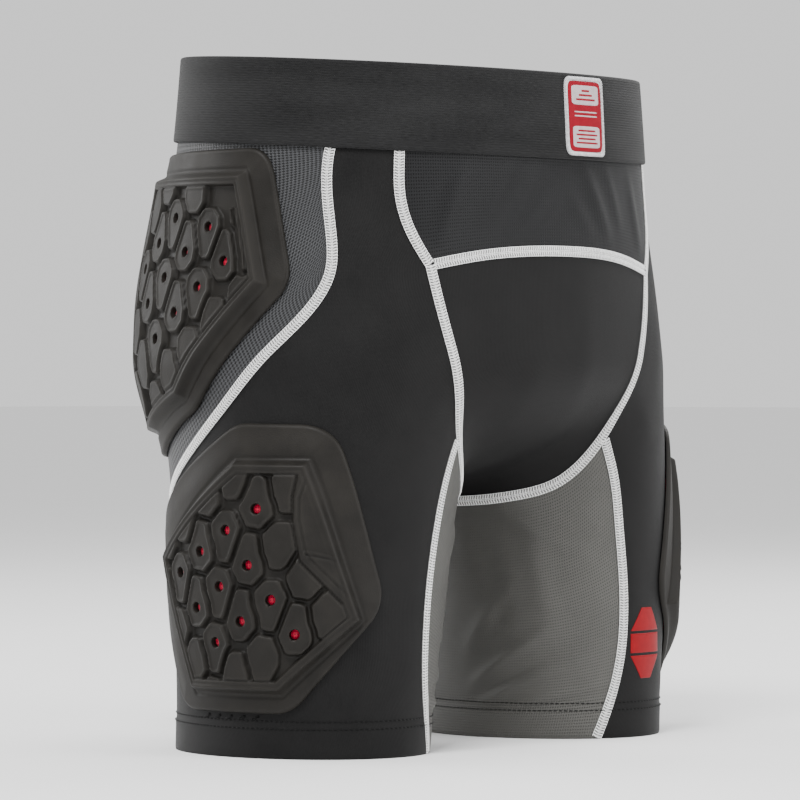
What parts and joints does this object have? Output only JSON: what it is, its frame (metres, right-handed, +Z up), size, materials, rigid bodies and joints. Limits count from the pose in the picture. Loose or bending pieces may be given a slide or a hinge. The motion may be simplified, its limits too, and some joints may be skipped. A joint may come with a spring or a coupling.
{
  "type": "padded impact shorts",
  "caption": "Close-fitting padded shorts for snow sports, with moulded foam pads at hips, thighs and tailbone, flatlock seams and a wide elastic waistband",
  "frame": {"origin": "Middle of the bounding box in X and Y, on the level of the two leg hems in Z. The shorts stand upright on their hems as if worn", "axes": "+Z up from the hems to the waist, the wearer faces -Y, +X is the wearer's left"},
  "size_m": [0.3474, 0.2515, 0.3817],
  "materials": {
    "waistband_elastic": "brushed woven elastic with fine horizontal ribs, matt",
    "label_border": "woven label tape, silver grey",
    "label_red": "rubbery printed red field, satin",
    "label_block": "silver grey print",
    "print_red": "heat transfer print, satin",
    "red_mesh": "crimson knitted mesh",
    "moulded_foam": "moulded closed-cell foam, matt skin",
    "grey_mesh": "fine grey knitted mesh, soft sheen",
    "hip_mesh": "black honeycomb mesh over lining",
    "yoke_mesh": "black fine stretch mesh, slight sheen",
    "black_stretch": "black compression knit, slight sheen",
    "black_thread": "black thread",
    "white_thread": "white flatlock thread"
  },
  "bodies": {
    "root": {"back_centre_panel": "black_stretch", "crotch_cross_seam": "white_thread", "front_pouch": "black_stretch", "front_yoke_mesh": "yoke_mesh", "label_backing": "label_border", "label_block_lower": "label_block", "label_block_upper": "label_block", "label_field": "label_red", "left_back_seam": "white_thread", "left_hem_stitching": "black_thread", "left_hip_pad": "moulded_foam", "left_hip_pad_liner": "red_mesh", "left_hip_panel_mesh": "hip_mesh", "left_hip_seam": "white_thread", "left_inner_thigh_mesh": "grey_mesh", "left_inseam_front_seam": "white_thread", "left_leg_panel": "black_stretch", "left_pouch_seam": "white_thread", "left_thigh_pad": "moulded_foam", "left_thigh_pad_liner": "red_mesh", "left_yoke_side_seam": "white_thread", "right_back_seam": "white_thread", "right_hem_stitching": "black_thread", "right_hip_pad": "moulded_foam", "right_hip_pad_liner": "red_mesh", "right_hip_panel_mesh": "hip_mesh", "right_hip_seam": "white_thread", "right_inner_thigh_mesh": "grey_mesh", "right_inseam_front_seam": "white_thread", "right_leg_panel": "black_stretch", "right_pouch_seam": "white_thread", "right_thigh_pad": "moulded_foam", "right_thigh_pad_liner": "red_mesh", "right_yoke_side_seam": "white_thread", "tailbone_pad": "moulded_foam", "tailbone_pad_liner": "red_mesh", "thigh_print_lower": "print_red", "thigh_print_middle": "print_red", "thigh_print_upper": "print_red", "waistband": "waistband_elastic", "yoke_seam": "white_thread"}
  },
  "joints": []
}
